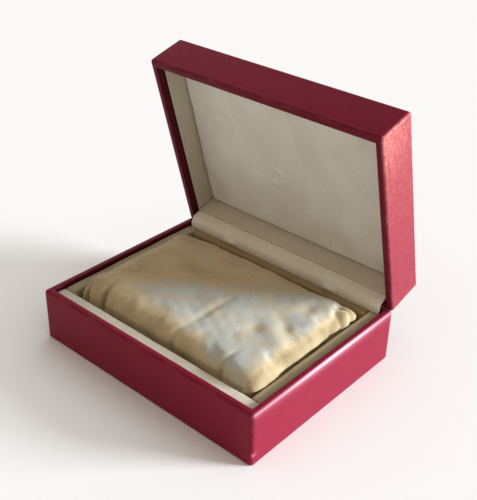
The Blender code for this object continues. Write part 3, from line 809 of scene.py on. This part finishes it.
def fill_with_wadding(piece):
    """Remesh the bag, inflate it with the cloth simulation and cap how far each point has moved."""
    move_points(piece, vectors_of(piece.data) * CLOTH_SCALE)
    remesh = piece.modifiers.new("even mesh", "REMESH")
    remesh.mode = "VOXEL"
    remesh.voxel_size = VOXEL * CLOTH_SCALE
    apply_modifiers(piece)
    before = vectors_of(piece.data)
    cloth = piece.modifiers.new("wadding", "CLOTH")
    cloth.settings.use_pressure = True
    cloth.settings.uniform_pressure_force = 4.0
    cloth.settings.shrink_min = -0.03
    cloth.settings.effector_weights.gravity = 0.0
    cloth.point_cache.frame_end = CLOTH_FRAMES
    for step in range(1, CLOTH_FRAMES + 1):
        bpy.context.scene.frame_set(step)
    apply_modifiers(piece)
    bpy.context.scene.frame_set(1)
    move = vectors_of(piece.data) - before
    length = np.maximum(np.linalg.norm(move, axis=1, keepdims=True), 1e-9)
    move *= np.minimum(1.0, CUSHION_CAP * CLOTH_SCALE / length)
    move_points(piece, (before + move) / CLOTH_SCALE)
    furthest = length.max() / CLOTH_SCALE
    print(f"cushion moved by up to {furthest / MM:.1f} mm, kept to {CUSHION_CAP / MM:.1f} mm")
    piece.modifiers.new("finer mesh", "SUBSURF").levels = 1
    piece.modifiers["finer mesh"].render_levels = 1
    apply_modifiers(piece)


cushion = surface("velour_cushion", cushion_grids())
fill_with_wadding(cushion)

# %% [markdown]
# Folds, puckers and dips come next, because remeshing would have erased them. Each is a groove along a
# line on the plan, pressed in along the surface's normal. The cushion is wider than its well, so its
# edges also swell over the ledge, most on the left.

# %% Folds and swelling edges
def groove(points, start, stop, width, depth):
    """A groove on a line in plan: deepest in its middle, it fades as a bell along the line and across it."""
    start, stop = np.array(start) * MM, np.array(stop) * MM
    length = np.linalg.norm(stop - start)
    run = (stop - start) / length
    plan = points[:, :2] - (start + stop) / 2
    along, across = plan @ run, plan @ np.array([-run[1], run[0]])
    return depth * MM * bell(along, 0.0, 0.42 * length) * bell(across, 0.0, width * MM)


# Each fold: where it starts and stops on the plan, its width and its depth, in mm.
FOLDS = (
    ((-46.5, -35.0), (-40.0, -61.0), 1.4, 4.5),
    ((-57.5, -37.0), (-54.0, -61.0), 1.3, 4.0),
    ((-62.5, -39.0), (-63.5, -57.0), 1.0, 2.4),
    ((52.5, 35.0), (56.5, 38.5), 2.0, 2.8),
    ((54.5, 37.0), (58.5, 20.0), 1.7, 1.0),
    ((55.0, 31.0), (71.0, 18.0), 1.4, 1.1),
    ((57.0, 37.0), (73.0, 26.0), 1.3, 1.3),
    ((59.0, 42.0), (73.0, 33.0), 1.1, 1.1),
    ((55.0, 23.0), (69.0, 10.0), 1.8, 0.7),
    ((41.0, -36.0), (40.0, -60.0), 1.6, 3.0),
    ((7.0, -38.0), (11.0, -60.0), 2.0, 1.8),
    ((8.3, -38.0), (8.3, 10.0), 2.5, 0.6),
    ((36.0, 8.0), (60.0, -10.0), 4.5, 1.2),
    ((31.0, -6.0), (39.0, -14.0), 5.0, 0.8),
    ((42.0, 17.0), (46.0, 29.0), 3.6, 1.1),
)
CUSHION_PRESSED = cushion_high.z - 2.8 * MM
PRESS_SOFTNESS = 0.6


def swell(points):
    """Move the upper edges out over the ledge: far on the left, a little at the right, front and back."""
    lift = ramp(points[:, 2], LEDGE_TOP - 2.0 * MM, LEDGE_TOP + 0.6 * MM)
    left = ramp(-points[:, 0], 50 * MM, 62 * MM) * ramp(points[:, 1], -46 * MM, -30 * MM)
    right = ramp(points[:, 0], 52 * MM, 62 * MM)
    ear = right * ramp(points[:, 1], 24 * MM, 38 * MM)
    front = ramp(-points[:, 1], 38 * MM, 46 * MM)
    back_left = ramp(-points[:, 0], 34 * MM, 60 * MM) * ramp(points[:, 1], 26 * MM, 46 * MM)
    points[:, 0] += (-4.8 * left + 2.0 * back_left + 3.3 * right + 0.8 * ear) * MM * lift
    points[:, 1] -= (1.5 * front + 4.0 * back_left) * MM * lift
    points[:, 2] += (1.2 * ear - 1.6 * back_left) * MM * lift
    outside = np.maximum(np.abs(points[:, 0]) - cushion_high.x, np.abs(points[:, 1]) - cushion_high.y)
    over = ramp(outside, -0.2 * MM, 0.6 * MM) * (points[:, 2] > CUSHION_SEAM)
    points[:, 2] += over * np.maximum(LEDGE_TOP + 0.15 * MM - points[:, 2], 0.0)


def press_folds(piece):
    """Flatten the top as the shut lid does, press the folds in, ripple it and let the edges swell."""
    points, normals = vectors_of(piece.data), vectors_of(piece.data, "normal")
    upper = ramp(points[:, 2], CUSHION_SEAM - 4 * MM, CUSHION_SEAM + 2 * MM)
    points[:, 2] -= PRESS_SOFTNESS * MM * np.logaddexp(0.0, (points[:, 2] - CUSHION_PRESSED) / MM)
    press = sum(groove(points, *fold) for fold in FOLDS)
    press = press + 0.20 * MM * unevenness(points, 22 * MM, 61) + 0.08 * MM * unevenness(points, 8 * MM, 62)
    points -= normals * (press * upper)[:, None]
    swell(points)
    move_points(piece, points)
    print("cushion from", (points.min(axis=0) / MM).round(1), "to", (points.max(axis=0) / MM).round(1), "mm")


# Each stroke of painted shade: where it starts and stops on the plan and its width, in mm, and its
# change of the pile's colour.
SHADE_STROKES = (
    ((-120.0, -50.0), (120.0, -52.0), 8.0, -0.40),
    ((36.0, 8.0), (60.0, -10.0), 5.0, -0.25),
    ((31.0, -6.0), (39.0, -14.0), 5.0, -0.15),
    ((42.0, 17.0), (46.0, 29.0), 4.0, -0.15),
    ((56.0, 32.0), (68.0, 46.0), 6.0, -0.15),
)


def left_of(points, start, stop, soft):
    """A soft step in plan: 1 to the left of the line from start to stop and 0 to its right."""
    start, stop = np.array(start) * MM, np.array(stop) * MM
    run = (stop - start) / np.linalg.norm(stop - start)
    return ramp((points[:, :2] - start) @ np.array([-run[1], run[0]]), -soft * MM, soft * MM)


def painted_pile_light(points):
    """Painted sheen and shade on the pile: most sheen where the window lights the top, and painted shade
    along the strokes, in the folds and towards the right side."""
    # The part of the top that the window lights, which gets a painted sheen.
    lit_wedge = left_of(points, (-44.0, -24.0), (64.0, -47.0), 7.0)
    lit_wedge *= left_of(points, (46.0, 42.0), (-44.0, -22.0), 9.0)
    value = 0.38 + 0.54 * lit_wedge * (1.0 + 0.22 * unevenness(points, 9 * MM, 64))
    for start, stop, width, amount in SHADE_STROKES:
        value += groove(points, start, stop, width, 1.0) / MM * amount
    # Painted shade in the folds.
    value -= 0.12 * sum(groove(points, *fold) for fold in FOLDS) / MM
    # Painted shade towards the right side, where the window lights the cushion most.
    value *= 1.0 - 0.85 * ramp(points[:, 0], 53 * MM, 61 * MM)
    return np.clip(value + 0.06 * unevenness(points, 16 * MM, 63), 0.0, 1.0)


press_folds(cushion)
cushion.data.shade_smooth()
paint(cushion, "painted_sheen_and_shade", painted_pile_light(vectors_of(cushion.data)))
finish_piece(cushion, "base", velour, "velour", "cushion")

# %% [markdown]
# A strip of satin hides the hinges. It is glued behind the lid's lining and behind the back ledge, and
# bulges between them because it has to be long enough for the lid to turn. Its section is one Bezier
# curve, which runs from the open lid at one end to the base at the other.

# %% The strip over the hinges
STRIP = 0.6 * MM
STRIP_TUCK = 1.0 * MM
STRIP_STEP = 0.35 * MM
STRIP_FULLNESS = 5.0 * MM
HINGE_BUMP = 0.6 * MM
HINGE_BUMP_HALF = 4.2 * MM


def strip_section(steps):
    """Centre line of the strip from the lid's lip to the ledge, as points and unit normals in (y, z)."""
    lining_low = shut_box("lid_liner_hinge_side")[0]
    ledge_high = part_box("base_liner_back")[1]
    face = lining_low.y + STRIP / 2 + STRIP_STEP
    lip = turn_lid(np.array([[0.0, face, lining_low.z - GAP],
                             [0.0, face, lining_low.z - GAP - STRIP_FULLNESS]]), OPEN)
    stop = np.array([0.0, ledge_high.y + GAP + STRIP / 2, ledge_high.z - STRIP_TUCK])
    off_base = stop + np.array([0.0, -0.8 * MM, 6.5 * MM])
    t = np.linspace(0.0, 1.0, steps + 1)[:, None]
    u = 1.0 - t
    line = lip[0] * u**3 + lip[1] * 3 * u * u * t + off_base * 3 * u * t * t + stop * t**3
    run = (lip[1] - lip[0]) * u * u + (off_base - lip[1]) * 2 * u * t + (stop - off_base) * t * t
    across = np.stack([np.zeros(len(t)), run[:, 2], -run[:, 1]], axis=-1)
    return line, across / np.linalg.norm(across, axis=1, keepdims=True), lip[0], stop


def strip_grid(steps=28, along=180):
    """The section carried along X, pushed out a little where it passes over each hinge."""
    low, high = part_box("hinge_cover_strip")
    line, across, start, stop = strip_section(steps)
    x = np.linspace(low.x, high.x, along)[:, None, None]
    t = np.linspace(0.0, 1.0, steps + 1)
    centre = line[None] + np.zeros((along, 1, 1))
    centre[..., 0] = x[..., 0]
    push = np.zeros((along, steps + 1))
    for hand in ("left", "right"):
        leaf_low, leaf_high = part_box(f"{hand}_hinge_base_leaf")
        over_hinge = np.exp(-(((x[:, 0] - (leaf_low.x + leaf_high.x) / 2) / HINGE_BUMP_HALF) ** 4))
        push += over_hinge * (np.sin(math.pi * t) + 2.4 * bell(t, 0.84, 0.1))
    push = HINGE_BUMP * push + 0.14 * MM * unevenness(centre, 20 * MM, 51) * np.sin(math.pi * t)
    front = centre + across[None] * (STRIP / 2 + push[..., None])
    back = centre - across[None] * (STRIP / 2 - push[..., None])
    return np.concatenate([front, back[:, ::-1]], axis=1), line, start, stop


grid, strip_line, strip_start, strip_stop = strip_grid()
strip = surface("hinge_strip_cloth", [grid], loop_columns=True, caps=True)
finish_piece(strip, None, strip_satin, "lining_cloth", "hinge_cover_strip")
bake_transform(strip)

# %% [markdown]
# The pieces whose solids already have the right shape only need their finish: the board trays, the
# card under the cushion, the paper under the base, and the hinges.

# %% Finish the other solids
dressed = {"base_core": grey_board, "lid_core": grey_board, "base_floor_card": lining_cloth,
           "base_bottom_sheet": black_paper}
for name in frame["nodes"]:
    if "_hinge_" in name:
        dressed[name] = spring_steel if name.endswith("spring") else nickelled_steel
for name, look in dressed.items():
    coat(frame["nodes"][name], look)
print("gave", len(dressed), "solids their material")

# %% [markdown]
# The box stands on a white table by a window. A sun lamp as wide as a window, low on the right and a
# little behind, stands for it: it lights the right walls and leaves the lid's inside in shade. A warm
# even world fills the shadows, and shows as plain white behind the object.

# %% Table, window light and room light
def seen_rays(tree):
    """1 for rays that look: from the camera, off a shiny surface or through glass; 0 for light that fills."""
    path = add_node(tree, "LightPath")
    seen = path.outputs["Is Camera Ray"]
    for kind in ("Is Glossy Ray", "Is Transmission Ray"):
        seen = add_node(tree, "Math", {"operation": "MAXIMUM"}, i0=seen, i1=path.outputs[kind])
    return seen


def make_floor():
    """A wide white plane just under the box; a camera or mirror sees it whiter, except close to the box."""
    bpy.ops.mesh.primitive_plane_add(size=6.0, location=(0.0, 0.0, -0.05 * MM))
    floor = bpy.context.object
    floor.name = "table"
    look, tree, shader, _ = new_material("matt white table top", Roughness=0.9, Base_Color=colour("FAF9F9"),
                                         Specular_IOR_Level=0.1)
    open_to_sky = add_node(tree, "AmbientOcclusion", {"samples": 8}, Distance=0.12)
    share = add_node(tree, "MapRange", Value=open_to_sky.outputs["AO"], From_Min=0.6, From_Max=1.0,
                     To_Min=0.0, To_Max=0.40)
    white = add_node(tree, "Math", {"operation": "MULTIPLY"}, i0=share, i1=seen_rays(tree))
    glow = add_node(tree, "Emission", Color=(1.0, 1.0, 1.0, 1.0), Strength=1.0)
    mix = add_node(tree, "MixShader", i0=white, i1=shader, i2=glow)
    feed(tree.nodes["Material Output"], Surface=mix)
    floor.data.materials.append(look)


def make_window(azimuth, elevation, width, strength, tint):
    """A sun lamp as wide as a window; its azimuth is measured from +X towards +Y."""
    lamp = bpy.data.lights.new("window", "SUN")
    lamp.angle = width
    lamp.energy = strength
    lamp.color = tint
    window = bpy.data.objects.new("window", lamp)
    flat = math.cos(elevation)
    towards = Vector((math.cos(azimuth) * flat, math.sin(azimuth) * flat, math.sin(elevation)))
    window.location = towards
    window.rotation_mode = "QUATERNION"
    window.rotation_quaternion = towards.to_track_quat("Z", "Y")
    bpy.context.scene.collection.objects.link(window)


def make_room(low_light, high_light, white_below, dim_above, ceiling):
    """A world that is dimmer overhead, where its light fills the shadows, and is seen as white walls."""
    world = bpy.data.worlds.new("room")
    world.use_nodes = True
    tree = world.node_tree
    tree.nodes.clear()
    place = add_node(tree, "TexCoord").outputs["Generated"]
    height = add_node(tree, "SeparateXYZ", Vector=place).outputs["Z"]
    fill = add_node(tree, "ValToRGB", stops=((0.0, low_light), (0.8, high_light)), i0=height)
    wall = add_node(tree, "ValToRGB", i0=height,
                    stops=((white_below, (1.0, 1.0, 1.0, 1.0)), (dim_above, ceiling)))
    light = add_node(tree, "Background", Color=fill, Strength=1.0)
    sight = add_node(tree, "Background", Color=wall, Strength=1.0)
    mix = add_node(tree, "MixShader", i0=seen_rays(tree), i1=light, i2=sight)
    add_node(tree, "OutputWorld", Surface=mix)
    bpy.context.scene.world = world


make_floor()
make_window(azimuth=math.radians(38.0), elevation=math.radians(13.0), width=math.radians(21.0), strength=7.9,
            tint=(0.91, 0.95, 1.0))
make_room(low_light=(0.62, 0.56, 0.47, 1.0), high_light=(0.44, 0.40, 0.35, 1.0), white_below=0.45,
          dim_above=0.75, ceiling=(0.25, 0.24, 0.23, 1.0))
bpy.context.scene.view_settings.view_transform = "Standard"
print("lit by one window lamp and a warm room")

# %% [markdown]
# The camera stands to the right of the front and looks down at the box, with a slight tilt of the
# picture. Its angle, distance and focal length follow from where the box's corners lie in the photograph.

# %% Camera
CAMERA_AZIMUTH = math.radians(40.46)
CAMERA_ELEVATION = math.radians(30.89)
CAMERA_DISTANCE = 467.3 * MM
CAMERA_TARGET = Vector((3.86 * MM, 11.95 * MM, 58.96 * MM))
CAMERA_ROLL = math.radians(1.81)
FOCAL_LENGTH = 63.64

camera = bpy.data.objects.new("camera", bpy.data.cameras.new("camera"))
bpy.context.scene.collection.objects.link(camera)
level = math.cos(CAMERA_ELEVATION)
back = Vector((math.sin(CAMERA_AZIMUTH) * level, -math.cos(CAMERA_AZIMUTH) * level,
               math.sin(CAMERA_ELEVATION)))
camera.location = CAMERA_TARGET + back * CAMERA_DISTANCE
camera.rotation_mode = "QUATERNION"
camera.rotation_quaternion = (-back).to_track_quat("-Z", "Y") @ Quaternion((0.0, 0.0, 1.0), CAMERA_ROLL)
camera.data.lens = FOCAL_LENGTH
camera.data.clip_start = 0.01
bpy.context.scene.camera = camera
print("camera at", [round(x, 3) for x in camera.location])
